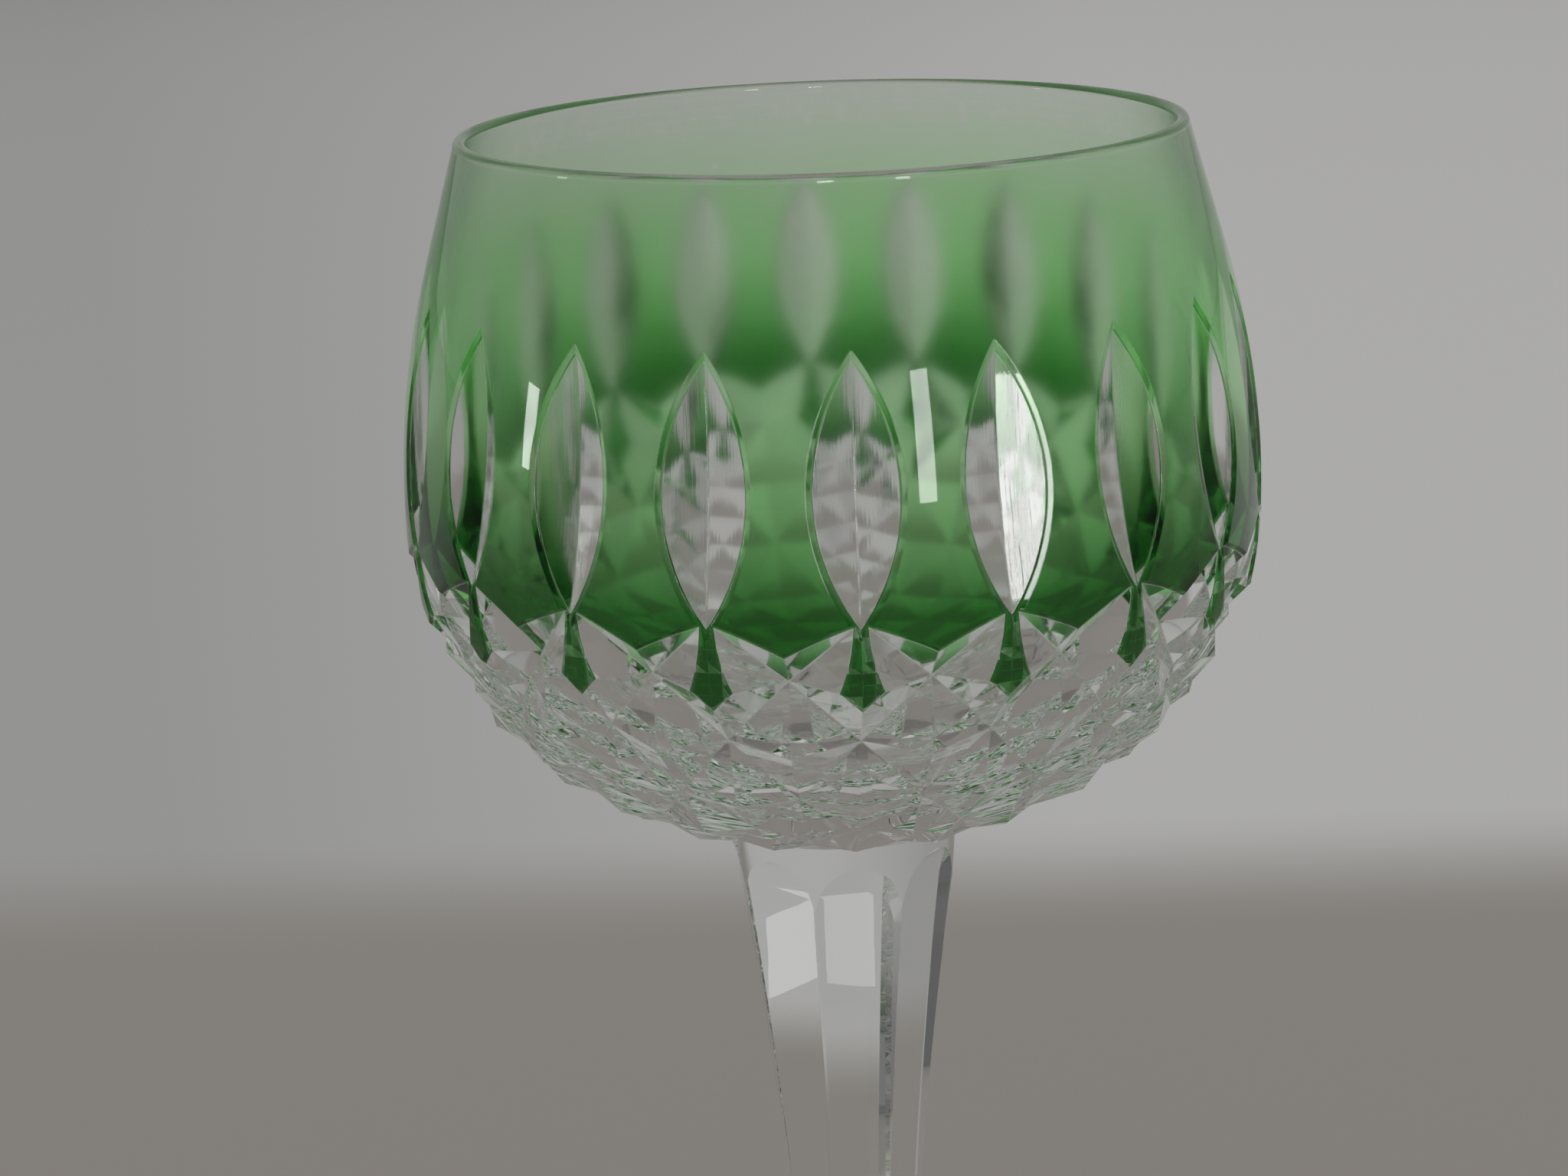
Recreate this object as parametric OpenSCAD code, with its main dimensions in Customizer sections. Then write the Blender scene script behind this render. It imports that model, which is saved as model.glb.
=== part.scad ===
// Roemer wine glass: clear lead crystal cased in green glass, cut through to the crystal with a row of
// pointed lenses and a lattice of diamonds, on an eight-sided panel-cut stem and a round foot.
// Millimetres. The axis of the glass is Z, the table is Z = 0, and one lens faces -Y.

/* [Glass] */
// Height from the table to the rim
total_h = 195; // [170:1:230]
// Height of the bowl, from the top of the stem to the rim
bowl_h = 63.2; // [58:0.1:68]

/* [Bowl] */
// Outside diameter of the rim
rim_d = 64.4; // [60:0.1:70]
// Outside diameter of the belly, before cutting
belly_d = 78.4; // [74:0.1:86]
// Radius of the curve below the belly, seen in section
lower_r = 28.5; // [26:0.5:31]
// Wall at the rim, crystal and green together
rim_wall = 1.2; // [1:0.1:1.4]
// Wall at the belly, crystal and green together
belly_wall = 3.6; // [3.4:0.1:4.2]
// Radius of the curve where the inside turns in to the floor, seen in section
inner_lower_r = 24; // [22:0.5:26]
// Radius of the hollow floor
floor_r = 60; // [52:1:90]
// Glass under the lowest point of the inside
floor_h = 4.5; // [4:0.1:6]

/* [Green casing] */
// Thickness of the green at the rim
casing_rim = 0.25; // [0.2:0.01:0.35]
// Thickness of the green from the belly down
casing_low = 0.3; // [0.25:0.01:0.4]

/* [Lens cuts] */
// Number of lenses round the bowl, and of diamonds in each row
lens_count = 20; // [16:1:21]
// Distance from the rim to the upper point of a lens
lens_top = 12.8; // [10:0.1:16]
// Height of the lower point of a lens above the belly
lens_rise = -0.3; // [-1:0.1:1]
// Width of a lens
lens_w = 7.9; // [7:0.1:9.2]
// Radius of the mitre wheel that cuts the lenses
lens_wheel_r = 60; // [50:1:80]

/* [Diamond cuts] */
// Angle from the belly down to the first ring of groove crossings, about the centre of the lower curve
first_ring = 9.7; // [9:0.1:11]
// Angle from one ring of crossings to the next
ring_step = 13.5; // [12:0.1:13.8]
// Height above the lower point of a lens at which its two grooves begin
groove_start = 1.7; // [1.5:0.1:2]
// Depth of the crossings beside and under the first row of diamonds, below the uncut surface
first_depth = 2.4; // [2.2:0.1:2.6]
// Depth of the crossings in the rows below
middle_depth = 1.3; // [1.1:0.1:1.6]
// Depth of the last ring of crossings, where the diamonds are small
last_depth = 1; // [0.8:0.1:1.2]
// How far the first row of diamonds would stand proud if the uncut surface did not cut it off
dart_proud = 0.8; // [0.75:0.05:0.95]

/* [Stem] */
// Number of panels on the stem
panel_count = 8; // [6:2:10]
// Diameter of the round collar under the bowl
collar_d = 22; // [20:0.5:24]
// Radius of the rounded upper edge of the collar
collar_round = 0.9; // [0.5:0.1:1.2]
// Diameter of the stem where it meets the foot
ankle_d = 16; // [14:0.5:17]
// Height of the ankle, from the foot to where the panels begin to run out
ankle_h = 9.5; // [9:0.5:12]
// Width across two panels at the narrowest place
waist_w = 9.8; // [8.5:0.1:11]
// Height of the narrowest place above the table
waist_z = 45; // [40:1:55]
// Radius of the long curve of a panel
panel_r = 600; // [500:10:700]
// Radius at which the panels run out at both ends
panel_end_r = 15; // [12:1:25]

/* [Foot] */
// Diameter of the foot
foot_d = 70; // [62:1:78]
// Thickness of the rounded edge of the foot
foot_edge = 3; // [2.4:0.1:3.6]
// Slope of the top of the foot
foot_slope = 5.5; // [4:0.5:7]
// Radius of the hollow curve from the foot up to the stem
foot_fillet = 2.5; // [2:0.1:4]
// Width of the ground ring that stands on the table
foot_ring_w = 4; // [3:0.5:6]
// Depth of the hollow under the foot
foot_hollow = 1.6; // [1:0.1:2.2]

/* [Hidden] */
$fn = 256;
// Sides of the small rounded edges
small_fn = 48;
// Overlap of a cutting shape past the face that it cuts
past = 1;
// How far the outer ends of the cutting shapes stand clear of the wall
wall_clear = 10;
wide_r = belly_d / 2 + wall_clear;

bowl_z = total_h - bowl_h;
belly_z = bowl_z + lower_r - casing_low;
// A section of the bowl is [rim radius, belly radius, height of the belly, radius of the lower curve]
outer = [rim_d / 2, belly_d / 2, belly_z, lower_r];
casing = [rim_d / 2 - casing_rim, belly_d / 2 - casing_low, belly_z, lower_r - casing_low];
inner_belly_r = belly_d / 2 - belly_wall;
// The hollow floor and the inner lower curve are tangent circles
inner_centre_r = inner_belly_r - inner_lower_r;
inner_drop = floor_r - sqrt(pow(floor_r - inner_lower_r, 2) - pow(inner_centre_r, 2));
floor_z = bowl_z + floor_h;
floor_edge_r = floor_r * inner_centre_r / (floor_r - inner_lower_r);
inner = [rim_d / 2 - rim_wall, inner_belly_r, floor_z + inner_drop, inner_lower_r];

// The wall above the belly is an arc, then a straight flank tangent to it. The flank leans this many times
// as much as the chord from the belly to the rim.
flank_lean = 1.5;
function flank_angle(s) = flank_lean * atan((s[1] - s[0]) / (total_h - s[2]));
function shoulder_r(s) =
    let (a = flank_angle(s))
    ((total_h - s[2]) * tan(a) - (s[1] - s[0])) / (tan(a) * sin(a) - 1 + cos(a));
function flank_z(s) = s[2] + shoulder_r(s) * sin(flank_angle(s));
function flank_r(s) = s[1] - shoulder_r(s) * (1 - cos(flank_angle(s)));
function wall_r(s, z) =
    z > flank_z(s) ? flank_r(s) - (z - flank_z(s)) * tan(flank_angle(s))
    : s[1] - shoulder_r(s) + sqrt(pow(shoulder_r(s), 2) - pow(z - s[2], 2));

// Lens wheel: it passes through both points of the lens, in the plane of the axis
lens_hi = [wall_r(outer, total_h - lens_top), total_h - lens_top];
lens_lo = [wall_r(outer, belly_z + lens_rise), belly_z + lens_rise];
lens_mid = (lens_hi + lens_lo) / 2;
lens_half = norm(lens_hi - lens_lo) / 2;
lens_out = [lens_hi[1] - lens_lo[1], lens_lo[0] - lens_hi[0]] / (2 * lens_half);
lens_chord = sqrt(pow(lens_wheel_r, 2) - pow(lens_half, 2));
wheel_at = lens_mid + lens_out * lens_chord;
lens_depth = wall_r(outer, lens_mid[1]) - lens_mid[0] + lens_wheel_r - lens_chord;
lens_bulge = pow(lens_w / 2, 2) / belly_d;
// Fall of the wheel's face for each millimetre away from its edge
wheel_slope = (lens_depth - lens_bulge) / (lens_w / 2);
// Half width, depth and half turn of the stretch of wheel that cuts, each a little more than the lens needs
wheel_half = 0.6 * lens_w;
wheel_back = 6;
wheel_turn = 1.25 * asin(lens_half / lens_wheel_r);
lens_tilt = atan2(lens_lo[0] - lens_hi[0], lens_hi[1] - lens_lo[1]);

// Diamond lattice: rings of points about the centre of the lower curve, crossing and tip in turn
ring_count = 7;
column_count = 2 * lens_count;
columns = [0 : column_count - 1];
start_angle = -asin((lens_rise + groove_start) / lower_r);
// Grooves begin just clear of the surface, bare tips stay just under the green, and the last ring runs out
start_proud = 0.05;
tip_sink = 0.08;
notch_proud = 2.5;
run_out = 0.3;
crossing_at = [
    start_proud, -first_depth, -first_depth, -middle_depth, -middle_depth, -last_depth, run_out - casing_low
];
bare_tip = -casing_low - tip_sink;
tip_at = [notch_proud, dart_proud, bare_tip, bare_tip, bare_tip, bare_tip, run_out - casing_low];
function ring_angle(i) = i == 0 ? start_angle : first_ring + (i - 1) * ring_step;
function is_crossing(i, j) = (i + j) % 2 == 0;
function turned(r, z, j) = [r * cos(j * 360 / column_count), r * sin(j * 360 / column_count), z];
function lattice_point(i, j) =
    let (out = lower_r + (is_crossing(i, j) ? crossing_at[i] : tip_at[i]))
    turned(belly_d / 2 - lower_r + out * cos(ring_angle(i)), belly_z - out * sin(ring_angle(i)), j);
start_z = lattice_point(0, 0)[2];

// The lip is a half round as wide as the wall
lip_z = total_h - rim_wall / 2;
lip_mid = (wall_r(outer, lip_z) + wall_r(inner, lip_z)) / 2;
lip_r = (wall_r(outer, lip_z) - wall_r(inner, lip_z)) / 2;

// Foot: a rounded edge, a low cone and a hollow curve that ends upright at the stem
edge_r = foot_edge / 2;
cone_r = foot_d / 2 - edge_r;
fillet_r = ankle_d / 2 + foot_fillet;
foot_h = foot_edge + (cone_r - fillet_r) * tan(foot_slope) + foot_fillet / cos(foot_slope);
fillet_end = [fillet_r - foot_fillet * sin(foot_slope), foot_h - foot_fillet * cos(foot_slope)];
hollow_edge_r = cone_r - foot_ring_w;
hollow_r = (pow(hollow_edge_r, 2) + pow(foot_hollow, 2)) / (2 * foot_hollow);

// Stem: collar_d at the top, ankle_d at the foot, and panels between
half_panel = 180 / panel_count;
waist_r = waist_w / 2;
panel_hi_r = collar_d / 2 * cos(half_panel);
panel_hi_z = waist_z + sqrt(pow(panel_r, 2) - pow(panel_r - panel_hi_r + waist_r, 2));
panel_lo_z = foot_h + ankle_h;
panel_lo_r = waist_r + panel_r - sqrt(pow(panel_r, 2) - pow(waist_z - panel_lo_z, 2));
panel_centre = [waist_r + panel_r, waist_z];

// Half of a bowl section, filled in to the axis
module bowl_section(s) {
    intersection() {
        translate([s[1] - shoulder_r(s), s[2]])
            circle(shoulder_r(s));
        translate([0, s[2]])
            square([s[1], flank_z(s) - s[2]]);
    }
    polygon([[0, s[2]], [flank_r(s), flank_z(s)], [s[0], total_h], [0, total_h]]);
    intersection() {
        translate([s[1] - s[3], s[2]])
            circle(s[3]);
        translate([s[1] - s[3], s[2] - s[3]])
            square([s[3], s[3]]);
    }
    translate([0, s[2] - s[3]])
        square([s[1] - s[3], s[3]]);
}

// The inside has a hollow floor that is tangent to its lower curve
module inside_section() {
    bowl_section(inner);
    intersection() {
        translate([0, floor_z + floor_r])
            circle(floor_r);
        translate([0, floor_z])
            square([floor_edge_r, inner_drop]);
    }
}

// What the rounded lip leaves out of the top of the wall
module lip_waste() {
    difference() {
        translate([lip_mid - lip_r - past, lip_z])
            square([2 * (lip_r + past), rim_wall]);
        translate([lip_mid, lip_z])
            circle(lip_r, $fn = small_fn);
    }
}

// The stretch of a mitre wheel's edge that cuts one lens
module lens_cutter() {
    translate([wheel_at[0], 0, wheel_at[1]])
        rotate([90, 180 - lens_tilt, 0])
            rotate(-wheel_turn)
                rotate_extrude(angle = 2 * wheel_turn)
                    polygon([
                        [lens_wheel_r, 0],
                        [lens_wheel_r - wheel_half * wheel_slope, wheel_half],
                        [lens_wheel_r - wheel_back, wheel_half],
                        [lens_wheel_r - wheel_back, -wheel_half],
                        [lens_wheel_r - wheel_half * wheel_slope, -wheel_half]
                    ]);
}

module lens_cutters() {
    for (k = [0 : lens_count - 1])
        rotate(k * 360 / lens_count)
            lens_cutter();
}

// All that the diamond grooves leave: the wall below the lenses lies inside these facets
module lattice() {
    end_r = norm([lattice_point(ring_count - 1, 0)[0], lattice_point(ring_count - 1, 0)[1]]);
    points = [
        for (j = columns) turned(wide_r, total_h + past, j),
        for (j = columns) turned(wide_r, start_z, j),
        for (i = [0 : ring_count - 1]) for (j = columns) lattice_point(i, j),
        for (j = columns) turned(end_r, bowl_z - past, j)
    ];
    last = ring_count + 2;
    function at(row, j) = row * column_count + j % column_count;
    // Each field between four points is folded along the groove that crosses it
    function fold(row, j) = is_crossing(row, j)
        ? [[at(row, j), at(row, j + 1), at(row + 1, j + 1)], [at(row, j), at(row + 1, j + 1), at(row + 1, j)]]
        : [[at(row, j), at(row, j + 1), at(row + 1, j)], [at(row, j + 1), at(row + 1, j + 1), at(row + 1, j)]];
    polyhedron(points, [
        [for (j = columns) at(0, column_count - 1 - j)],
        for (row = [0 : last - 1]) for (j = columns) each fold(row, j),
        [for (j = columns) at(last, j)]
    ]);
}

// The part of that shape above the first grooves, closed off inside the wall
module zigzag() {
    points = [
        for (j = columns) turned(wide_r, total_h + past, j),
        for (j = columns) turned(wide_r, start_z, j),
        for (j = columns) lattice_point(0, j),
        for (j = columns) lattice_point(1, j),
        for (j = columns) turned(floor_edge_r, belly_z, j)
    ];
    function at(row, j) = row * column_count + (j + column_count) % column_count;
    polyhedron(points, [
        [for (j = columns) at(0, column_count - 1 - j)],
        for (row = [0, 1]) for (j = columns) each [
            [at(row, j), at(row, j + 1), at(row + 1, j + 1)], [at(row, j), at(row + 1, j + 1), at(row + 1, j)]
        ],
        for (j = [0 : 2 : column_count - 1]) each [
            [at(2, j), at(2, j + 1), at(3, j + 1)], [at(2, j - 1), at(2, j), at(3, j - 1)],
            [at(2, j), at(3, j + 1), at(4, j)], [at(3, j + 1), at(4, j + 1), at(4, j)],
            [at(3, j - 1), at(2, j), at(4, j)], [at(3, j - 1), at(4, j), at(4, j - 1)]
        ],
        [for (j = columns) at(4, j)]
    ]);
}

// The first row of diamonds, each carried inward to a point inside the wall
module first_diamonds() {
    for (j = [0 : 2 : column_count - 1])
        polyhedron(
            [
                lattice_point(1, j),
                lattice_point(0, j),
                lattice_point(1, j + 1),
                lattice_point(2, j),
                lattice_point(1, j + column_count - 1),
                turned(floor_edge_r, belly_z, j)
            ],
            [
                [0, 1, 2], [0, 2, 3], [0, 3, 4], [0, 4, 1],
                [5, 2, 1], [5, 3, 2], [5, 4, 3], [5, 1, 4]
            ]
        );
}

// The green layer before cutting, down to the second ring of crossings
module casing_layer() {
    rotate_extrude()
        difference() {
            bowl_section(outer);
            bowl_section(casing);
            lip_waste();
            square([belly_d, lattice_point(2, 0)[2]]);
        }
}

module crystal_bowl() {
    color("gainsboro")
        difference() {
            intersection() {
                rotate_extrude()
                    difference() {
                        bowl_section(casing);
                        inside_section();
                        lip_waste();
                    }
                lattice();
            }
            lens_cutters();
        }
}

module green_overlay() {
    color("forestgreen")
        difference() {
            intersection() {
                casing_layer();
                zigzag();
            }
            lens_cutters();
        }
}

module overlay_darts() {
    color("green")
        difference() {
            intersection() {
                casing_layer();
                first_diamonds();
            }
            lens_cutters();
        }
}

// The end of a panel, where the wheel lifts out of the glass; at is its place on the long curve
module panel_end(at, up) {
    centre = at + (panel_centre - at) * panel_end_r / panel_r;
    intersection() {
        translate(centre)
            circle(panel_end_r);
        translate([0, up ? at[1] : at[1] - panel_end_r])
            square([collar_d, panel_end_r]);
    }
}

// What one panel takes off the stem, seen from its edge
module panel_waste() {
    intersection() {
        translate(panel_centre)
            circle(panel_r);
        translate([0, panel_lo_z])
            square([collar_d, panel_hi_z - panel_lo_z]);
    }
    panel_end([panel_hi_r, panel_hi_z], true);
    panel_end([panel_lo_r, panel_lo_z], false);
}

module stem() {
    collar_r = collar_d / 2;
    color("whitesmoke")
        difference() {
            rotate_extrude() {
                polygon([
                    [0, foot_h], [ankle_d / 2, foot_h], [collar_r, bowl_z - collar_round],
                    [collar_r - collar_round, bowl_z], [0, bowl_z]
                ]);
                translate([collar_r - collar_round, bowl_z - collar_round])
                    circle(collar_round, $fn = small_fn);
            }
            for (k = [0 : panel_count - 1])
                rotate((k + 0.5) * 360 / panel_count)
                    rotate([90, 0, 0])
                        linear_extrude(height = collar_d, center = true)
                            panel_waste();
        }
}

module foot() {
    color("white")
        rotate_extrude()
            difference() {
                union() {
                    polygon([
                        [0, 0], [cone_r, 0], [cone_r, foot_edge], fillet_end, [fillet_end[0], foot_h], [0, foot_h]
                    ]);
                    translate([cone_r, edge_r])
                        circle(edge_r, $fn = small_fn);
                }
                translate([fillet_r, foot_h])
                    circle(foot_fillet, $fn = small_fn);
                translate([0, foot_hollow - hollow_r])
                    circle(hollow_r);
            }
}

crystal_bowl();
green_overlay();
overlay_darts();
stem();
foot();
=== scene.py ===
"""Looks of the cut roemer glass: finely meshed glass pieces in place of the CAD nodes, a floor, light and a camera.

Sizes are in millimetres until a mesh is made, then in metres. The axis of the glass is Z and one lens faces +X.
"""

import math

import bpy
import numpy as np
from mathutils import Matrix, Vector


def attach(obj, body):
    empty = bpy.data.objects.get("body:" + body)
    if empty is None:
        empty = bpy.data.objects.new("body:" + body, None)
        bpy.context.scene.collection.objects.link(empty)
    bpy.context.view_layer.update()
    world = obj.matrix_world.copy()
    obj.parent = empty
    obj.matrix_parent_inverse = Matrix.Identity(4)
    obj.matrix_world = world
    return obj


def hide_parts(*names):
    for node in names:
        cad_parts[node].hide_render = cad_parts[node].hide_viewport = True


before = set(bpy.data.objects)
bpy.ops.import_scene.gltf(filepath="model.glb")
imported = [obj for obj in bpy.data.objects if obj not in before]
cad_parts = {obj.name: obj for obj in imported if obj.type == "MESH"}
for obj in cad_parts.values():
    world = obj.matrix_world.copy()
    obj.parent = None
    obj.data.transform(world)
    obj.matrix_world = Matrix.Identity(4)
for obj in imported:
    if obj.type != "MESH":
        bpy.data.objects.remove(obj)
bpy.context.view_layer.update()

MM = 0.001

# Sizes of the part

TOTAL_H, BOWL_H = 195.0, 63.2
RIM_D, BELLY_D, LOWER_R, FLANK_LEAN = 64.4, 78.4, 28.5, 1.5
RIM_WALL, BELLY_WALL = 1.2, 3.6
INNER_LOWER_R, FLOOR_R, FLOOR_H = 24.0, 60.0, 4.5
CASING_RIM, CASING_LOW = 0.25, 0.3
LENS_COUNT, LENS_TOP, LENS_RISE, LENS_W, WHEEL_R = 20, 12.8, -0.3, 7.9, 60.0
FIRST_RING, RING_STEP, GROOVE_START = math.radians(9.7), math.radians(13.5), 1.7
FIRST_DEPTH, MIDDLE_DEPTH, LAST_DEPTH, DART_PROUD = 2.4, 1.3, 1.0, 0.8
PANEL_COUNT, COLLAR_D, COLLAR_ROUND = 8, 22.0, 0.9
ANKLE_D, ANKLE_H, WAIST_W, WAIST_Z, PANEL_R, PANEL_END_R = 16.0, 9.5, 9.8, 45.0, 600.0, 15.0
FOOT_D, FOOT_EDGE, FOOT_SLOPE, FOOT_FILLET = 70.0, 3.0, math.radians(5.5), 2.5
FOOT_RING_W, FOOT_HOLLOW = 4.0, 1.6

# Fineness of the meshes: steps of arcs, and points along curves that are laid out point by point

AROUND = 240        # steps of a turned surface
STEP = 1.0          # length of a step along the bowl's section
LIP_STEPS, LENS_STEPS, PANEL_STEPS, PANEL_END_STEPS = 10, 48, 90, 40
MITRE_POINTS, FLOOR_POINTS, CONE_POINTS, COLLAR_POINTS = 5, 20, 125, 7
FILLET_POINTS, SLOPE_POINTS, EDGE_POINTS, HOLLOW_POINTS = 11, 24, 15, 30
ONE_POINT = 1e-3    # points of a section that are nearer than this are one
ON_AXIS = 1e-6
HALVINGS = 60
LEAST_CASING = 1e-6

# Cutting shapes

MITRE_ROUND = 0.25  # radius of the worn edge of the lens wheel
LENS_PAST = 1.25    # how far a stretch of the wheel runs, as a share of the lens
WHEEL_SIDE = 0.6    # half of the wheel's width, as a share of the lens
WHEEL_BACK = 6.0    # how far back from its edge the wheel reaches
PAST = 1.0          # overlap of a cutting shape past the face that it cuts
WALL_CLEAR = 10.0   # how far the outer ends of the cutting shapes stand clear of the wall

# Heights and radii that follow from the sizes

BOWL_Z = TOTAL_H - BOWL_H
BELLY_Z = BOWL_Z + LOWER_R - CASING_LOW
FLOOR_Z = BOWL_Z + FLOOR_H
FOOT_CONE_R, FOOT_FILLET_R = FOOT_D / 2 - FOOT_EDGE / 2, ANKLE_D / 2 + FOOT_FILLET
FOOT_H = FOOT_EDGE + (FOOT_CONE_R - FOOT_FILLET_R) * math.tan(FOOT_SLOPE) + FOOT_FILLET / math.cos(FOOT_SLOPE)
HOLLOW_EDGE_R = FOOT_CONE_R - FOOT_RING_W
HOLLOW_R = (HOLLOW_EDGE_R ** 2 + FOOT_HOLLOW ** 2) / (2 * FOOT_HOLLOW)


class Section:
    """Half of the bowl's outline: lower curve, belly, shoulder arc and straight flank up to the rim."""

    def __init__(self, rim_r, belly_r, belly_z, lower_r):
        self.rim_r, self.belly_r, self.belly_z, self.lower_r = rim_r, belly_r, belly_z, lower_r
        rise, run = TOTAL_H - belly_z, belly_r - rim_r
        self.lean = FLANK_LEAN * math.atan(run / rise)
        t = math.tan(self.lean)
        self.shoulder_r = (rise * t - run) / (t * math.sin(self.lean) - 1 + math.cos(self.lean))
        self.flank_z = belly_z + self.shoulder_r * math.sin(self.lean)
        self.flank_r = belly_r - self.shoulder_r * (1 - math.cos(self.lean))

    def tilt(self, z):
        """Angle of the outward normal above the horizontal."""
        z = np.asarray(z, float)
        low = np.arcsin(np.clip((z - self.belly_z) / self.lower_r, -1, 0))
        high = np.arcsin(np.clip((z - self.belly_z) / self.shoulder_r, 0, math.sin(self.lean)))
        return low + high

    def radius(self, z):
        z = np.asarray(z, float)
        low = self.belly_r - self.lower_r * (1 - np.cos(self.tilt(np.minimum(z, self.belly_z))))
        arc = self.belly_r - self.shoulder_r * (1 - np.cos(self.tilt(z)))
        flank = self.flank_r - (z - self.flank_z) * math.tan(self.lean)
        return np.where(z < self.belly_z, low, np.where(z < self.flank_z, arc, flank))

    def curve(self, z_lo, z_hi, *also):
        """Points from z_lo up to z_hi, at about STEP, and at the heights named in also."""
        bottom = self.belly_z - self.lower_r
        turn = np.linspace(-math.pi / 2, 0, round(self.lower_r * math.pi / 2 / STEP) + 1)
        zs = np.concatenate([
            self.belly_z + self.lower_r * np.sin(turn),
            np.linspace(self.belly_z, self.flank_z, round((self.flank_z - self.belly_z) / STEP) + 1),
            np.linspace(self.flank_z, TOTAL_H, round((TOTAL_H - self.flank_z) / STEP) + 1),
            also, (z_lo, z_hi),
        ])
        zs = np.unique(np.round(np.clip(zs, max(z_lo, bottom), z_hi), 4))
        return [(float(self.radius(z)), float(z)) for z in zs]


OUTER = Section(RIM_D / 2, BELLY_D / 2, BELLY_Z, LOWER_R)
CASING = Section(RIM_D / 2 - CASING_RIM, BELLY_D / 2 - CASING_LOW, BELLY_Z, LOWER_R - CASING_LOW)
INNER_CENTRE_R = BELLY_D / 2 - BELLY_WALL - INNER_LOWER_R
INNER_DROP = FLOOR_R - math.sqrt((FLOOR_R - INNER_LOWER_R) ** 2 - INNER_CENTRE_R ** 2)
FLOOR_EDGE_R = FLOOR_R * INNER_CENTRE_R / (FLOOR_R - INNER_LOWER_R)
FLOOR_EDGE_Z = FLOOR_Z + FLOOR_R - math.sqrt(FLOOR_R ** 2 - FLOOR_EDGE_R ** 2)
INNER = Section(RIM_D / 2 - RIM_WALL, BELLY_D / 2 - BELLY_WALL, FLOOR_Z + INNER_DROP, INNER_LOWER_R)

# Lip: a half round as wide as the wall
LIP_Z = TOTAL_H - RIM_WALL / 2
LIP_MID = float(OUTER.radius(LIP_Z) + INNER.radius(LIP_Z)) / 2
LIP_R = float(OUTER.radius(LIP_Z) - INNER.radius(LIP_Z)) / 2


def lip_crossing():
    """Height at which the green meets the crystal on the lip, found by halving."""
    lo, hi = LIP_Z, LIP_Z + LIP_R
    for _ in range(HALVINGS):
        mid = (lo + hi) / 2
        inside = math.hypot(float(CASING.radius(mid)) - LIP_MID, mid - LIP_Z) < LIP_R
        lo, hi = (mid, hi) if inside else (lo, mid)
    return lo


LIP_SEAM_Z = lip_crossing()


def lip_arc(a0, a1, steps):
    return [(LIP_MID + LIP_R * math.cos(a), LIP_Z + LIP_R * math.sin(a)) for a in np.linspace(a0, a1, steps + 1)]


LIP_SEAM = math.atan2(LIP_SEAM_Z - LIP_Z, float(CASING.radius(LIP_SEAM_Z)) - LIP_MID)

# Lens wheel
LENS_HI = np.array([float(OUTER.radius(TOTAL_H - LENS_TOP)), TOTAL_H - LENS_TOP])
LENS_LO = np.array([float(OUTER.radius(BELLY_Z + LENS_RISE)), BELLY_Z + LENS_RISE])
LENS_MID = (LENS_HI + LENS_LO) / 2
LENS_HALF = float(np.linalg.norm(LENS_HI - LENS_LO)) / 2
LENS_ALONG = (LENS_HI - LENS_LO) / (2 * LENS_HALF)
LENS_OUT = np.array([LENS_ALONG[1], -LENS_ALONG[0]])
LENS_CHORD = math.sqrt(WHEEL_R ** 2 - LENS_HALF ** 2)
WHEEL_AT = LENS_MID + LENS_OUT * LENS_CHORD
LENS_DEPTH = float(OUTER.radius(LENS_MID[1])) - LENS_MID[0] + WHEEL_R - LENS_CHORD
WHEEL_SLOPE = (LENS_DEPTH - (LENS_W / 2) ** 2 / BELLY_D) / (LENS_W / 2)
WHEEL_FLANK = math.atan(WHEEL_SLOPE)

# Diamond lattice
RINGS, COLUMNS = 7, 2 * LENS_COUNT
START_ANGLE = -math.asin((LENS_RISE + GROOVE_START) / LOWER_R)
START_PROUD, TIP_SINK, NOTCH_PROUD, RUN_OUT = 0.05, 0.08, 2.5, 0.3
BARE_TIP = -CASING_LOW - TIP_SINK
CROSSING_AT = [START_PROUD, *[-FIRST_DEPTH] * 2, *[-MIDDLE_DEPTH] * 2, -LAST_DEPTH, RUN_OUT - CASING_LOW]
TIP_AT = [NOTCH_PROUD, DART_PROUD, *[BARE_TIP] * 4, RUN_OUT - CASING_LOW]


def turned(r, z, j):
    """A point of the lattice's column j."""
    a = j * 2 * math.pi / COLUMNS
    return (r * math.cos(a), r * math.sin(a), z)


def turned_aside(r, y, z, a):
    """A point that lies y to the side of the plane at the angle a."""
    return (r * math.cos(a) - y * math.sin(a), r * math.sin(a) + y * math.cos(a), z)


def is_crossing(i, j):
    return (i + j) % 2 == 0


def lattice_rz(i, j):
    out = LOWER_R + (CROSSING_AT[i] if is_crossing(i, j) else TIP_AT[i])
    a = START_ANGLE if i == 0 else FIRST_RING + (i - 1) * RING_STEP
    return BELLY_D / 2 - LOWER_R + out * math.cos(a), BELLY_Z - out * math.sin(a)


CASING_END_Z = lattice_rz(2, 0)[1]
ABOVE_LATTICE = [[(BELLY_D / 2 + WALL_CLEAR, z)] * 2 for z in (TOTAL_H + PAST, lattice_rz(0, 0)[1])]

# Meshes. A face's class says which surface it belongs to.

CLASS_COUNT = 18
(CASED, LIP, INSIDE, FLOOR, BASE, JOINT, GREEN_OUT, GREEN_IN, LENS, FACET,
 CONE, COLLAR, PANEL, FILLET, SLOPE, EDGE, RING, HOLLOW) = range(CLASS_COUNT)


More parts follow.
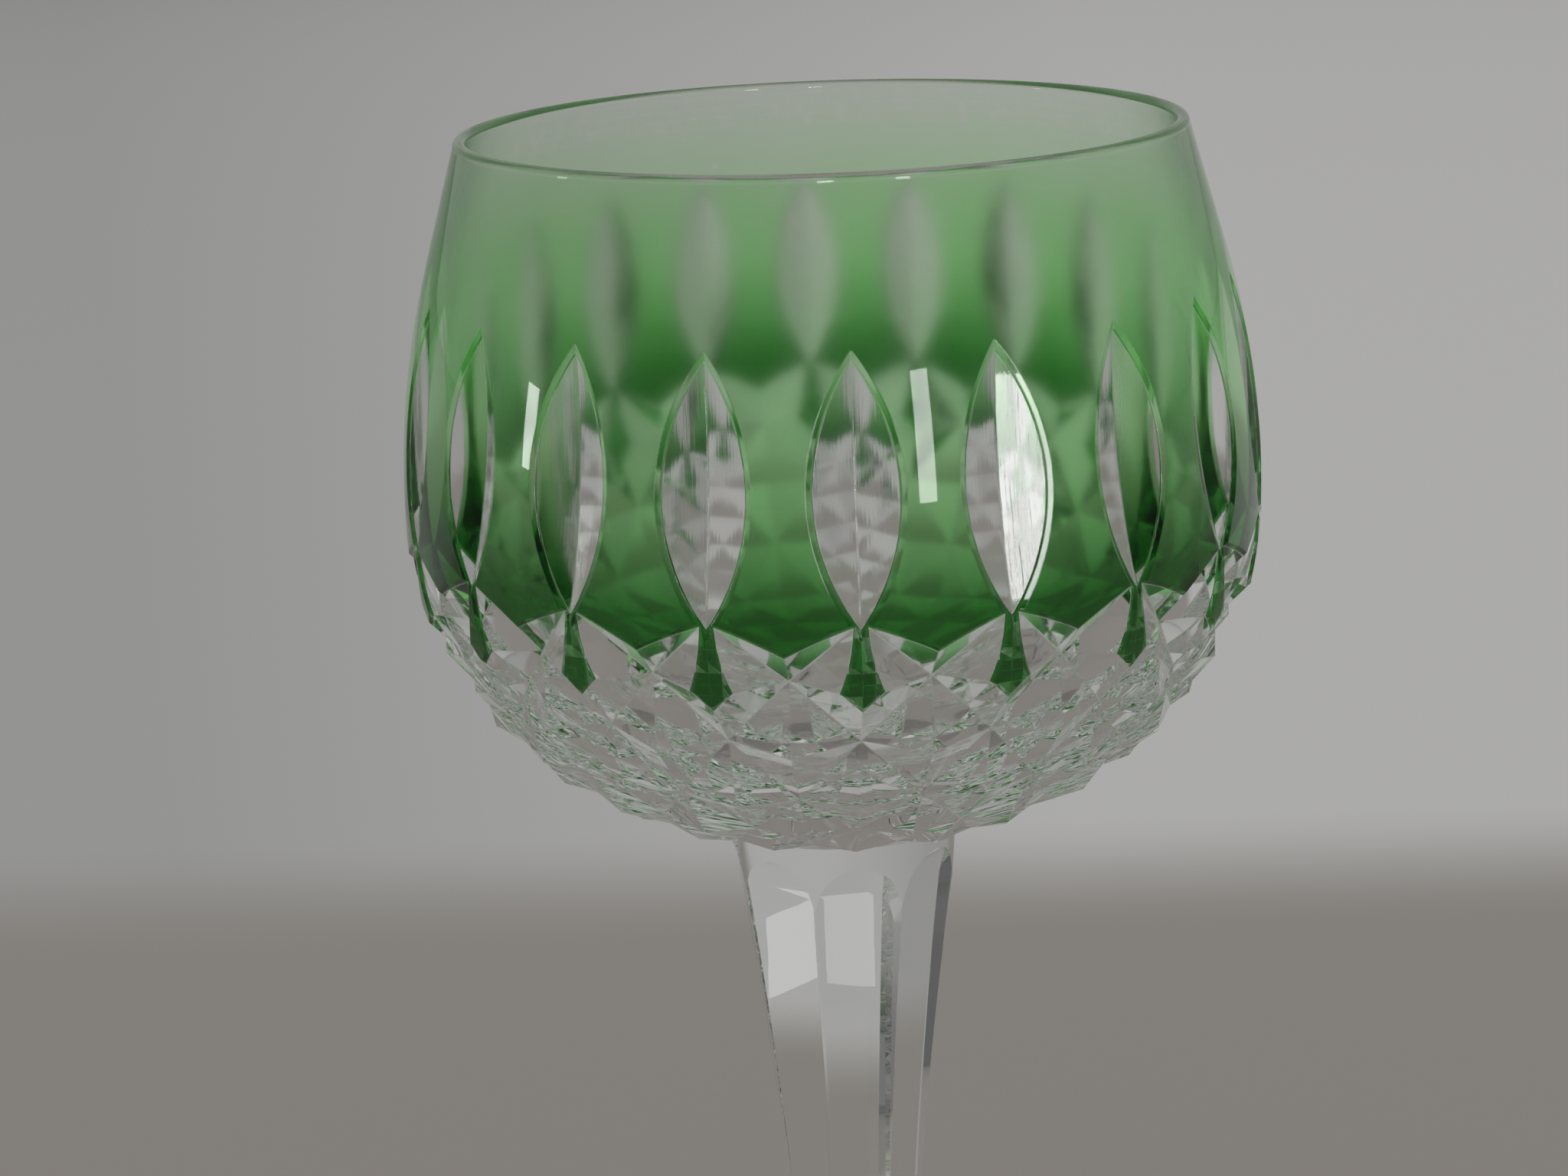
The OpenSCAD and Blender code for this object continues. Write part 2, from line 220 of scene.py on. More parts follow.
def make_object(name, points, faces, classes):
    mesh = bpy.data.meshes.new(name)
    mesh.from_pydata([tuple(p) for p in points], [], faces)
    for _ in range(CLASS_COUNT):
        mesh.materials.append(None)
    mesh.polygons.foreach_set("material_index", classes)
    mesh.calc_loop_triangles()
    corners = np.array([[mesh.vertices[i].co for i in t.vertices] for t in mesh.loop_triangles])
    if np.einsum("ij,ij->", corners[:, 0], np.cross(corners[:, 1], corners[:, 2])) < 0:
        mesh.flip_normals()
    obj = bpy.data.objects.new(name, mesh)
    bpy.context.scene.collection.objects.link(obj)
    return obj


def turn(name, points, classes, closed=False):
    """Turns a section (r, z) about Z. Its glass lies to the left of the way that it runs."""
    verts, faces, tags, rows = [], [], [], []
    for r, z in points:
        if r < ON_AXIS:
            rows.append([len(verts)] * AROUND)
            verts.append((0, 0, z))
        else:
            rows.append(list(range(len(verts), len(verts) + AROUND)))
            angles = np.arange(AROUND) * 2 * math.pi / AROUND
            verts += [(r * math.cos(a), r * math.sin(a), z) for a in angles]
    if closed:
        rows.append(rows[0])
    for low, high, tag in zip(rows, rows[1:], classes):
        for k in range(AROUND):
            n = (k + 1) % AROUND
            ring = [low[k], low[n], high[n], high[k]]
            face = [v for i, v in enumerate(ring) if v != ring[i - 1]]
            faces.append(face)
            tags.append(tag)
    return make_object(name, verts, faces, tags)


def strips(*parts):
    """Joins stretches of section, each (class, points), into points and classes of the strips between them."""
    points, classes = [parts[0][1][0]], []
    for tag, stretch in parts:
        for p in stretch:
            if math.dist(p, points[-1]) > ONE_POINT:
                points.append(p)
                classes.append(tag)
    return points, classes


def boolean(obj, tool, operation):
    """Applies one boolean to obj and deletes the tool."""
    mod = obj.modifiers.new("cut", "BOOLEAN")
    mod.operation, mod.solver, mod.object = operation, "MANIFOLD", tool
    graph = bpy.context.evaluated_depsgraph_get()
    mesh = bpy.data.meshes.new_from_object(obj.evaluated_get(graph), depsgraph=graph)
    obj.modifiers.clear()
    obj.data = mesh
    bpy.data.objects.remove(tool)


def lens_cutter():
    """The stretches of the mitre wheel's edge that cut the lenses, all round the bowl."""
    turn_half, half = LENS_PAST * math.asin(LENS_HALF / WHEEL_R), WHEEL_SIDE * LENS_W
    centre = WHEEL_R - MITRE_ROUND / math.cos(WHEEL_FLANK)
    worn = [(centre + MITRE_ROUND * math.cos(t), MITRE_ROUND * math.sin(t))
            for t in np.linspace(-WHEEL_FLANK, WHEEL_FLANK, MITRE_POINTS)]
    shape = [*worn, (WHEEL_R - half * WHEEL_SLOPE, half), (WHEEL_R - WHEEL_BACK, half),
             (WHEEL_R - WHEEL_BACK, -half), (WHEEL_R - half * WHEEL_SLOPE, -half)]
    n = len(shape)
    verts, faces = [], []
    for k in range(LENS_COUNT):
        a = k * 2 * math.pi / LENS_COUNT
        first = len(verts)
        for phi in np.linspace(-turn_half, turn_half, LENS_STEPS + 1):
            way = LENS_ALONG * math.sin(phi) - LENS_OUT * math.cos(phi)
            for rho, y in shape:
                r, z = WHEEL_AT + rho * way
                verts.append(turned_aside(r, y, z, a))
        for i in range(LENS_STEPS):
            for j in range(n):
                p, q = first + i * n, first + (i + 1) * n
                faces.append([p + j, p + (j + 1) % n, q + (j + 1) % n, q + j])
        faces.append([first + j for j in range(n)][::-1])
        faces.append([first + LENS_STEPS * n + j for j in range(n)])
    return make_object("lens_cutter", verts, faces, [LENS] * len(faces))


def lattice():
    """All that the diamond grooves leave: the wall below the lenses lies inside these facets."""
    rows = ABOVE_LATTICE + [[lattice_rz(i, 0), lattice_rz(i, 1)] for i in range(RINGS)]
    rows.append([(lattice_rz(RINGS - 1, 0)[0], BOWL_Z - PAST)] * 2)
    verts = [turned(*row[j % 2], j) for row in rows for j in range(COLUMNS)]

    def at(row, j):
        return row * COLUMNS + j % COLUMNS

    faces = [[at(0, j) for j in range(COLUMNS)]]
    for row in range(len(rows) - 1):
        for j in range(COLUMNS):
            a, b, c, d = at(row, j), at(row, j + 1), at(row + 1, j + 1), at(row + 1, j)
            faces += [[a, c, b], [a, d, c]] if is_crossing(row, j) else [[a, d, b], [b, d, c]]
    faces.append([at(len(rows) - 1, j) for j in range(COLUMNS)][::-1])
    return make_object("lattice", verts, faces, [FACET] * len(faces))


def zigzag():
    """The part of that shape above the first grooves, closed off inside the wall."""
    rows = ABOVE_LATTICE + [
        [lattice_rz(0, 0), lattice_rz(0, 1)], [lattice_rz(1, 1)] * 2, [(FLOOR_EDGE_R, BELLY_Z)] * 2]
    verts, index = [], {}

    def at(row, j):
        key = row, j % COLUMNS
        if key not in index:
            index[key] = len(verts)
            verts.append(turned(*rows[row][key[1] % 2], key[1]))
        return index[key]

    faces = [[at(0, -j) for j in range(COLUMNS)]]
    for row in (0, 1):
        for j in range(COLUMNS):
            a, b, c, d = at(row, j), at(row, j + 1), at(row + 1, j + 1), at(row + 1, j)
            faces += [[a, b, c], [a, c, d]]
    for j in range(0, COLUMNS, 2):
        faces += [[at(2, j), at(2, j + 1), at(3, j + 1)], [at(2, j - 1), at(2, j), at(3, j - 1)]]
    cut = len(faces)
    for j in range(0, COLUMNS, 2):
        faces += [[at(2, j), at(3, j + 1), at(4, j)], [at(3, j + 1), at(4, j + 1), at(4, j)],
                  [at(3, j - 1), at(2, j), at(4, j)], [at(3, j - 1), at(4, j), at(4, j - 1)]]
    faces.append([at(4, j) for j in range(COLUMNS)])
    return make_object("zigzag", verts, faces, [FACET] * cut + [JOINT] * (len(faces) - cut))


def first_diamonds():
    """The first row of diamonds, each carried inward to a point inside the wall."""
    verts, faces, tags = [], [], []
    for j in range(0, COLUMNS, 2):
        n = len(verts)
        verts += [turned(*lattice_rz(i, j + side), j + side) for i, side in ((1, 0), (0, 0), (1, 1), (2, 0), (1, -1))]
        verts.append(turned(FLOOR_EDGE_R, BELLY_Z, j))
        for a, b in ((1, 2), (2, 3), (3, 4), (4, 1)):
            faces += [[n, n + a, n + b], [n + 5, n + b, n + a]]
            tags += [FACET, JOINT]
    return make_object("first_diamonds", verts, faces, tags)


def panel_centres():
    """Centres and radii of a stem panel's long curve and of its two ends, in (r, z), and where they meet."""
    waist_r = WAIST_W / 2
    long_at = np.array([waist_r + PANEL_R, WAIST_Z])
    hi_r = COLLAR_D / 2 * math.cos(math.pi / PANEL_COUNT)
    hi = np.array([hi_r, WAIST_Z + math.sqrt(PANEL_R ** 2 - (PANEL_R - hi_r + waist_r) ** 2)])
    lo_z = FOOT_H + ANKLE_H
    lo = np.array([waist_r + PANEL_R - math.sqrt(PANEL_R ** 2 - (WAIST_Z - lo_z) ** 2), lo_z])
    ends = [at + (long_at - at) * PANEL_END_R / PANEL_R for at in (lo, hi)]
    return long_at, lo, hi, ends


def panel_cutter(k):
    """What one panel takes off the stem."""
    long_at, lo, hi, (lo_end, hi_end) = panel_centres()
    out, half = COLLAR_D + WALL_CLEAR, COLLAR_D / 2

    def arc(centre, radius, p, q, steps):
        a0, a1 = (math.atan2(*(x - centre)[::-1]) % (2 * math.pi) for x in (p, q))
        return [centre + radius * np.array([math.cos(a), math.sin(a)]) for a in np.linspace(a0, a1, steps + 1)]

    low_tip = lo_end + PANEL_END_R * np.array([0, -1])
    high_tip = hi_end + PANEL_END_R * np.array([0, 1])
    line = arc(lo_end, PANEL_END_R, low_tip, lo, PANEL_END_STEPS) + arc(long_at, PANEL_R, lo, hi, PANEL_STEPS)[1:]
    line += arc(hi_end, PANEL_END_R, hi, high_tip, PANEL_END_STEPS)[1:]
    shape = [(out, low_tip[1]), *map(tuple, line), (out, high_tip[1])]
    a = (k + 0.5) * 2 * math.pi / PANEL_COUNT
    n = len(shape)
    verts = [turned_aside(r, y, z, a) for y in (-half, half) for r, z in shape]
    faces = [[j, (j + 1) % n, n + (j + 1) % n, n + j] for j in range(n)]
    faces += [list(range(n))[::-1], list(range(n, 2 * n))]
    return make_object("panel_cutter", verts, faces, [PANEL] * len(faces))


# Pieces as closed meshes, still in millimetres


def bowl_mesh():
    joint_r = COLLAR_D / 2 - COLLAR_ROUND
    floor_arc = [(r, FLOOR_Z + FLOOR_R - math.sqrt(FLOOR_R ** 2 - r ** 2))
                 for r in np.linspace(FLOOR_EDGE_R, 0, FLOOR_POINTS)]
    points, classes = strips(
        (JOINT, [(0, BOWL_Z), (joint_r, BOWL_Z)]),
        (BASE, [(CASING.belly_r - CASING.lower_r, BOWL_Z)]),
        (CASED, CASING.curve(BOWL_Z, LIP_SEAM_Z, CASING_END_Z)),
        (LIP, lip_arc(LIP_SEAM, math.pi, LIP_STEPS)),
        (INSIDE, INNER.curve(FLOOR_EDGE_Z, LIP_Z)[::-1]),
        (FLOOR, floor_arc),
    )
    obj = turn("bowl_glass", points, classes)
    boolean(obj, lattice(), "INTERSECT")
    boolean(obj, lens_cutter(), "DIFFERENCE")
    return obj


def green_mesh(name, kept):
    """The cased layer where it lies inside the kept shape, cut by the lenses."""
    points, classes = strips(
        (GREEN_OUT, OUTER.curve(CASING_END_Z, LIP_Z)),
        (LIP, lip_arc(0, LIP_SEAM, LIP_STEPS // 2)),
        (GREEN_IN, CASING.curve(CASING_END_Z, LIP_SEAM_Z)[::-1]),
    )
    obj = turn(name, points, [*classes, GREEN_IN], closed=True)
    boolean(obj, kept, "INTERSECT")
    boolean(obj, lens_cutter(), "DIFFERENCE")
    return obj


def stem_mesh():
    collar_r, low = COLLAR_D / 2, BOWL_Z - COLLAR_ROUND
    round_r = collar_r - COLLAR_ROUND
    points, classes = strips(
        (JOINT, [(0, FOOT_H), (ANKLE_D / 2, FOOT_H)]),
        (CONE, [(ANKLE_D / 2 + (collar_r - ANKLE_D / 2) * t, FOOT_H + (low - FOOT_H) * t)
                for t in np.linspace(0, 1, CONE_POINTS)]),
        (COLLAR, [(round_r + COLLAR_ROUND * math.cos(a), low + COLLAR_ROUND * math.sin(a))
                  for a in np.linspace(0, math.pi / 2, COLLAR_POINTS)]),
        (JOINT, [(0, BOWL_Z)]),
    )
    obj = turn("stem_glass", points, classes)
    for k in range(PANEL_COUNT):
        boolean(obj, panel_cutter(k), "DIFFERENCE")
    return obj


def foot_mesh():
    edge_r = FOOT_EDGE / 2
    fillet = [(FOOT_FILLET_R - FOOT_FILLET * math.cos(a), FOOT_H - FOOT_FILLET * math.sin(a))
              for a in np.linspace(0, math.pi / 2 - FOOT_SLOPE, FILLET_POINTS)]
    slope_end = (FOOT_CONE_R, FOOT_EDGE)
    slope = [tuple(np.array(fillet[-1]) + t * (np.array(slope_end) - fillet[-1]))
             for t in np.linspace(0, 1, SLOPE_POINTS)]
    edge = [(FOOT_CONE_R + edge_r * math.cos(a), edge_r + edge_r * math.sin(a))
            for a in np.linspace(math.pi / 2, -math.pi / 2, EDGE_POINTS)]
    hollow = [(r, FOOT_HOLLOW - HOLLOW_R + math.sqrt(HOLLOW_R ** 2 - r ** 2))
              for r in np.linspace(HOLLOW_EDGE_R, 0, HOLLOW_POINTS)]
    return turn("foot_glass", *strips(
        (JOINT, [(0, FOOT_H), (ANKLE_D / 2, FOOT_H)]),
        (FILLET, fillet), (SLOPE, slope), (EDGE, edge), (RING, [(HOLLOW_EDGE_R, 0)]), (HOLLOW, hollow),
    ))


# Normals of the true surfaces, so that the facets of the meshes don't show in the glass


def from_rz(points, nr, nz):
    """Turns normals given along the radius and along Z to the points' own directions."""
    angle = np.arctan2(points[:, 1], points[:, 0])
    n = np.stack([nr * np.cos(angle), nr * np.sin(angle), np.broadcast_to(nz, angle.shape)], 1)
    return n / np.linalg.norm(n, axis=1, keepdims=True)


def folded(points, count, offset=0.0):
    """Middle angle of the sector that each point lies in, of so many round the axis."""
    pitch = 2 * math.pi / count
    return (np.round(np.arctan2(points[:, 1], points[:, 0]) / pitch - offset) + offset) * pitch


def in_sector(points, angle):
    """Radial and tangential coordinates of points in sectors that lie at those angles."""
    c, s = np.cos(angle), np.sin(angle)
    return points[:, 0] * c + points[:, 1] * s, points[:, 1] * c - points[:, 0] * s


def lens_normals(p, middle):
    angle = folded(middle, LENS_COUNT)
    r, y = in_sector(p, angle)
    away = np.stack([r, p[:, 2]], 1) - WHEEL_AT
    away /= np.linalg.norm(away, axis=1, keepdims=True)
    worn = MITRE_ROUND * math.sin(WHEEL_FLANK)
    t = np.where(np.abs(y) < worn, np.arcsin(np.clip(y / MITRE_ROUND, -1, 1)), np.sign(y) * WHEEL_FLANK)
    nr, nt, nz = -np.cos(t) * away[:, 0], -np.sin(t), -np.cos(t) * away[:, 1]
    return np.stack([nr * np.cos(angle) - nt * np.sin(angle), nr * np.sin(angle) + nt * np.cos(angle), nz], 1)


def panel_normals(p, middle):
    angle = folded(middle, PANEL_COUNT, 0.5)
    r, _ = in_sector(p, angle)
    long_at, lo, hi, (lo_end, hi_end) = panel_centres()
    z = p[:, 2]
    centre = np.where((z > hi[1])[:, None], hi_end, np.where((z < lo[1])[:, None], lo_end, long_at))
    n = centre - np.stack([r, z], 1)
    n /= np.linalg.norm(n, axis=1, keepdims=True)
    return np.stack([n[:, 0] * np.cos(angle), n[:, 0] * np.sin(angle), n[:, 1]], 1)


def section_normals(section, p):
    tilt = section.tilt(p[:, 2])
    return from_rz(p, np.cos(tilt), np.sin(tilt))


def circle_normals(p, r, z, outward):
    d = outward * (np.hypot(p[:, 0], p[:, 1]) - r), outward * (p[:, 2] - z)
    return from_rz(p, *d)


CONE_RISE = (COLLAR_D - ANKLE_D) / 2 / (BOWL_Z - COLLAR_ROUND - FOOT_H)
NORMALS = {
    CASED: lambda p, m: section_normals(CASING, p),
    GREEN_IN: lambda p, m: -section_normals(CASING, p),
    GREEN_OUT: lambda p, m: section_normals(OUTER, p),
    INSIDE: lambda p, m: -section_normals(INNER, p),
    FLOOR: lambda p, m: circle_normals(p, 0, FLOOR_Z + FLOOR_R, -1),
    LIP: lambda p, m: circle_normals(p, LIP_MID, LIP_Z, 1),
    LENS: lens_normals,
    PANEL: panel_normals,
    CONE: lambda p, m: from_rz(p, 1.0, -CONE_RISE),
    COLLAR: lambda p, m: circle_normals(p, COLLAR_D / 2 - COLLAR_ROUND, BOWL_Z - COLLAR_ROUND, 1),
    FILLET: lambda p, m: circle_normals(p, FOOT_FILLET_R, FOOT_H, -1),
    SLOPE: lambda p, m: from_rz(p, math.sin(FOOT_SLOPE), math.cos(FOOT_SLOPE)),
    EDGE: lambda p, m: circle_normals(p, FOOT_CONE_R, FOOT_EDGE / 2, 1),
    HOLLOW: lambda p, m: circle_normals(p, 0, FOOT_HOLLOW - HOLLOW_R, -1),
}


def gather(items, name, width, kind=float):
    out = np.empty(len(items) * width, kind)
    items.foreach_get(name, out)
    return out.reshape(-1, width) if width > 1 else out


def finish_piece(obj, cad_node, slot_of):
    """Sets true normals, materials by class and detail attributes, goes over to metres and joins the frame."""
    mesh = obj.data
    verts = gather(mesh.vertices, "co", 3)
    corner = gather(mesh.loops, "vertex_index", 1, int)
    totals = gather(mesh.polygons, "loop_total", 1, int)
    face_class = gather(mesh.polygons, "material_index", 1, int)
    face_normal = gather(mesh.polygons, "normal", 3)
    face_middle = gather(mesh.polygons, "center", 3)
    face_of = np.repeat(np.arange(len(totals)), totals)
    normals = face_normal[face_of]
    for tag, rule in NORMALS.items():
        mine = face_class[face_of] == tag
        if mine.any():
            normals[mine] = rule(verts[corner[mine]], face_middle[face_of[mine]])

    mesh.materials.clear()
    for material in MATERIALS:
        mesh.materials.append(material)
    slots = np.array([slot_of(tag, z) for tag, z in zip(face_class, face_middle[:, 2])], np.int32)
    mesh.polygons.foreach_set("material_index", slots)
    mesh.polygons.foreach_set("use_smooth", np.ones(len(totals), bool))

    _, across = in_sector(verts, folded(verts, LENS_COUNT))
    radius = np.hypot(verts[:, 0], verts[:, 1])
    inner_r, outer_r = CASING.radius(verts[:, 2]), OUTER.radius(verts[:, 2])
    depth = np.clip((radius - inner_r) / np.maximum(outer_r - inner_r, LEAST_CASING), 0, 1)
    for name, values in (("across", across), ("green_depth", depth)):
        mesh.attributes.new(name, "FLOAT", "POINT").data.foreach_set("value", values.astype(np.float32))

    mesh.transform(Matrix.Scale(MM, 4))
    mesh.update()
    mesh.normals_split_custom_set([tuple(n) for n in normals])
    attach(obj, "root")
    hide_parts(cad_node)
    return obj


# Materials

CLEAR, HAZED, CUT, DIAMOND, GREEN, STAINED, FUSED, GROUND = range(8)
CRYSTAL_IOR = 1.545
CLEAR_TINTS = (0.992, 0.994, 0.99, 1), (0.98, 0.984, 0.978, 1)
CUT_TINTS = (0.982, 0.985, 0.98, 1), (0.993, 0.995, 0.991, 1)
RING_TINTS = (0.9, 0.91, 0.9, 1), (0.97, 0.975, 0.97, 1)

# Roughness, from polished to dull
CLEAR_ROUGH, CASING_ROUGH, LENS_ROUGH, FACET_ROUGH = (0.0, 0.12), (0.0, 0.1), (0.01, 0.07), (0.0, 0.05)
RING_ROUGH, TABLE_ROUGH = (0.2, 0.45), (0.75, 0.9)
HAZE_Z, HAZE_ROUGH = (146.0, 190.0), (0.02, 0.17)   # the haze inside the bowl grows between these heights

# Procedural detail: scales of noise, ranges of noise that are put to use, and heights of relief in metres
TRACE_SCALE, WAVE_SCALE, SPECK_SCALE, PATCH_SCALE = 30, 55, 900, 300
LINE_SCALE, LINE_STRETCH = 5.0, (1.0, 0.0, 30.0)
FACET_TRACE_SCALE, FACET_WAVE_SCALE, GRAIN_SCALE = 120, 260, 1500
STREAK_SCALE, STREAK_STRETCH = 60, (1.0, 1.0, 0.15)
SCUFF_SCALE, TABLE_SCALE = 700, 14
MOST, SPECK_PEAKS, LINE_PEAKS, GRAIN_PEAKS = (0.3, 0.7), (0.62, 0.8), (0.35, 0.75), (0.4, 0.8)
VARIED = 0.9, 1.1
WAVE_RELIEF, CUT_RELIEF, SCUFF_RELIEF = 2e-5, 6e-6, 8e-6
WORN_LENS, WORN_FACET, WORN_SAMPLES = 1.5e-4, 2e-4, 4   # radii of worn edges, in metres

# Green casing: part of its colour lies on its outside and part where it is fused to the crystal
GREEN_PALE, GREEN_DEEP = (0.38, 0.94, 0.33, 1), (0.03, 0.27, 0.028, 1)
DEEP_BELOW = 22.0, 33.5                       # how far below the rim the colour turns from pale to deep
DENSITY, DENSITY_BELOW = (0.16, 2.7), 44.0    # density at the rim and so far below it
OUTER_SHARE, FUSED_SHARE = 0.4, 0.3


def node(tree, kind, sockets=None, **settings):
    """Adds a shader node; a socket given here is linked, and any other value is set."""
    made = tree.nodes.new(kind)
    for key, value in settings.items():
        setattr(made, key, value)
    for key, value in (sockets or {}).items():
        if isinstance(value, bpy.types.NodeSocket):
            tree.links.new(value, made.inputs[key])
        else:
            made.inputs[key].default_value = value
    return made


def new_material(name, shader, build):
    """A material of one shader. build(tree, place) returns the shader's sockets."""
    material = bpy.data.materials.new(name)
    material.use_nodes = True
    tree = material.node_tree
    tree.nodes.clear()
    place = node(tree, "ShaderNodeTexCoord").outputs["Object"]
    made = node(tree, shader, build(tree, place))
    node(tree, "ShaderNodeOutputMaterial", {"Surface": made.outputs[0]})
    return material


def glass(name, detail):
    """A transmitting material with procedural detail."""
    return new_material(name, "ShaderNodeBsdfPrincipled", lambda tree, place: {
        "Transmission Weight": 1.0, "IOR": CRYSTAL_IOR, **detail(tree, place)})


def fused(name, detail):
    """Where two pieces are melted together, light goes straight on."""
    return new_material(name, "ShaderNodeBsdfTransparent", detail)


def noise(tree, place, scale, detail=2.0, stretch=None):
    if stretch:
        place = node(tree, "ShaderNodeVectorMath", {0: place, 1: stretch}, operation="MULTIPLY").outputs[0]
    return node(tree, "ShaderNodeTexNoise", {"Vector": place, "Scale": scale, "Detail": detail}).outputs["Fac"]


def between(tree, value, lo, hi, out_lo, out_hi):
    return node(tree, "ShaderNodeMapRange", {
        "Value": value, "From Min": lo, "From Max": hi, "To Min": out_lo, "To Max": out_hi}).outputs[0]


def calc(tree, operation, a, b):
    return node(tree, "ShaderNodeMath", {0: a, 1: b}, operation=operation).outputs[0]


def along(tree, place, way):
    return node(tree, "ShaderNodeVectorMath", {0: place, 1: way}, operation="DOT_PRODUCT").outputs["Value"]


def height_of(tree, place):
    return node(tree, "ShaderNodeSeparateXYZ", {0: place}).outputs["Z"]


def attribute(tree, name):
    return node(tree, "ShaderNodeAttribute", attribute_name=name).outputs["Fac"]


def tint(tree, value, low, high):
    return node(tree, "ShaderNodeMix", {"Factor": value, "A": low, "B": high}, data_type="RGBA").outputs["Result"]


def bump(tree, height, distance, worn=None):
    """Raised detail, on edges worn to the given radius."""
    sockets = {"Height": height, "Distance": distance}
    if worn:
        sockets["Normal"] = node(tree, "ShaderNodeBevel", {"Radius": worn}, samples=WORN_SAMPLES).outputs[0]
    return node(tree, "ShaderNodeBump", sockets).outputs[0]


def specks(tree, place, rough):
    """A few dull specks of wear."""
    return between(tree, noise(tree, place, SPECK_SCALE, 4), *SPECK_PEAKS, *rough)


def waves(tree, place, worn=None):
    """Long soft waves of blown glass."""
    return bump(tree, noise(tree, place, WAVE_SCALE), WAVE_RELIEF, worn)


def blown(tree, place):
    """Fire-polished glass: long soft waves, a trace of colour and specks of wear."""
    return {
        "Base Color": tint(tree, noise(tree, place, TRACE_SCALE), *CLEAR_TINTS),
        "Roughness": specks(tree, place, CLEAR_ROUGH),
        "Normal": waves(tree, place),
    }


def hazed(tree, place):
    """The inside of the bowl: fire-polished too, with the faint haze of use."""
    haze = between(tree, height_of(tree, place), *(z * MM for z in HAZE_Z), *HAZE_ROUGH)
    patchy = between(tree, noise(tree, place, PATCH_SCALE, 4), *MOST, *VARIED)
    return {**blown(tree, place), "Roughness": calc(tree, "MULTIPLY", haze, patchy)}


def striated(tree, place):
    """A lens cut by a mitre wheel: fine lines along the cut."""
    lines = node(tree, "ShaderNodeCombineXYZ", {"X": attribute(tree, "across"), "Z": height_of(tree, place)})
    fine = noise(tree, lines.outputs[0], LINE_SCALE, 3, LINE_STRETCH)
    return {
        "Base Color": tint(tree, fine, *CUT_TINTS),
        "Roughness": between(tree, fine, *LINE_PEAKS, *LENS_ROUGH),
        "Normal": bump(tree, fine, CUT_RELIEF, WORN_LENS),
    }


def ground_facets(tree, place):
    """Diamond facets: flat, a little dull from the stone."""
    return {
        "Base Color": tint(tree, noise(tree, place, FACET_TRACE_SCALE), *CUT_TINTS),
        "Roughness": between(tree, noise(tree, place, GRAIN_SCALE, 3), *GRAIN_PEAKS, *FACET_ROUGH),
        "Normal": bump(tree, noise(tree, place, FACET_WAVE_SCALE), CUT_RELIEF, WORN_FACET),
    }


def casing_green(tree, place, share, depth=1.0):
    """Colour of a share of the casing: thin and pale at the rim, denser and deeper below."""
    height = height_of(tree, place)
    at_rim, below = (d * share for d in DENSITY)
    density = between(tree, height, (TOTAL_H - DENSITY_BELOW) * MM, TOTAL_H * MM, below, at_rim)
    streaks = between(tree, noise(tree, place, STREAK_SCALE, 2, STREAK_STRETCH), *MOST, *VARIED)
    amount = calc(tree, "MULTIPLY", calc(tree, "MULTIPLY", density, streaks), depth)
    deep_from, deep_to = ((TOTAL_H - d) * MM for d in DEEP_BELOW)
    green = tint(tree, between(tree, height, deep_to, deep_from, 1.0, 0.0), GREEN_PALE, GREEN_DEEP)
    return node(tree, "ShaderNodeGamma", {"Color": green, "Gamma": amount}).outputs[0]


def cased(tree, place):
    """Outside of the green casing, thinned out where a cut slants through it."""
    return {
        "Base Color": casing_green(tree, place, OUTER_SHARE, attribute(tree, "green_depth")),
        "Roughness": specks(tree, place, CASING_ROUGH),
        "Normal": waves(tree, place, WORN_LENS),
    }


def stained(tree, place):
    """Inside of the green casing, fused to the crystal."""
    return {"Color": casing_green(tree, place, FUSED_SHARE)}


def worn_ring(tree, place):
    """The ring that stands on the table, ground and scuffed."""
    scuffs = noise(tree, place, SCUFF_SCALE, 4)
    return {
        "Base Color": tint(tree, scuffs, *RING_TINTS),
        "Roughness": between(tree, scuffs, *MOST, *RING_ROUGH),
        "Normal": bump(tree, scuffs, SCUFF_RELIEF),
    }


MATERIALS = [
    glass("crystal", blown),
    glass("used_inside", hazed),
    glass("lens_cut", striated),
    glass("diamond_cut", ground_facets),
    glass("green_casing", cased),
    fused("fused_green", stained),
    fused("fused_glass", lambda tree, place: {}),
    glass("ground_ring", worn_ring),
]


def bowl_slot(tag, z):
    if tag == JOINT or tag == CASED and z > CASING_END_Z:
        return FUSED
    return {LENS: CUT, FACET: DIAMOND, INSIDE: HAZED, FLOOR: HAZED}.get(tag, CLEAR)


def green_slot(tag, z):
    return {GREEN_IN: STAINED, JOINT: FUSED}.get(tag, GREEN)


def plain_slot(tag, z):
    return {JOINT: FUSED, RING: GROUND}.get(tag, CLEAR)


finish_piece(bowl_mesh(), "crystal_bowl", bowl_slot)
finish_piece(green_mesh("overlay_glass", zigzag()), "green_overlay", green_slot)
finish_piece(green_mesh("darts_glass", first_diamonds()), "overlay_darts", green_slot)
finish_piece(stem_mesh(), "stem", plain_slot)
foot = finish_piece(foot_mesh(), "foot", plain_slot)
foot.visible_shadow = False   # the floor under the clear foot stays lit

# Camera, fitted to the rim, the outline and the cuts in the photograph

VIEW_SIDE = math.radians(15.142)   # camera's place round the axis, from -Y towards +X
CAMERA_OUT, CAMERA_UP = 216.95, 27.19
PITCH, YAW, ROLL = (math.radians(a) for a in (18.011, -1.259, -2.261))
FOCAL_PX, FRAME_W = 3168.0, 2048

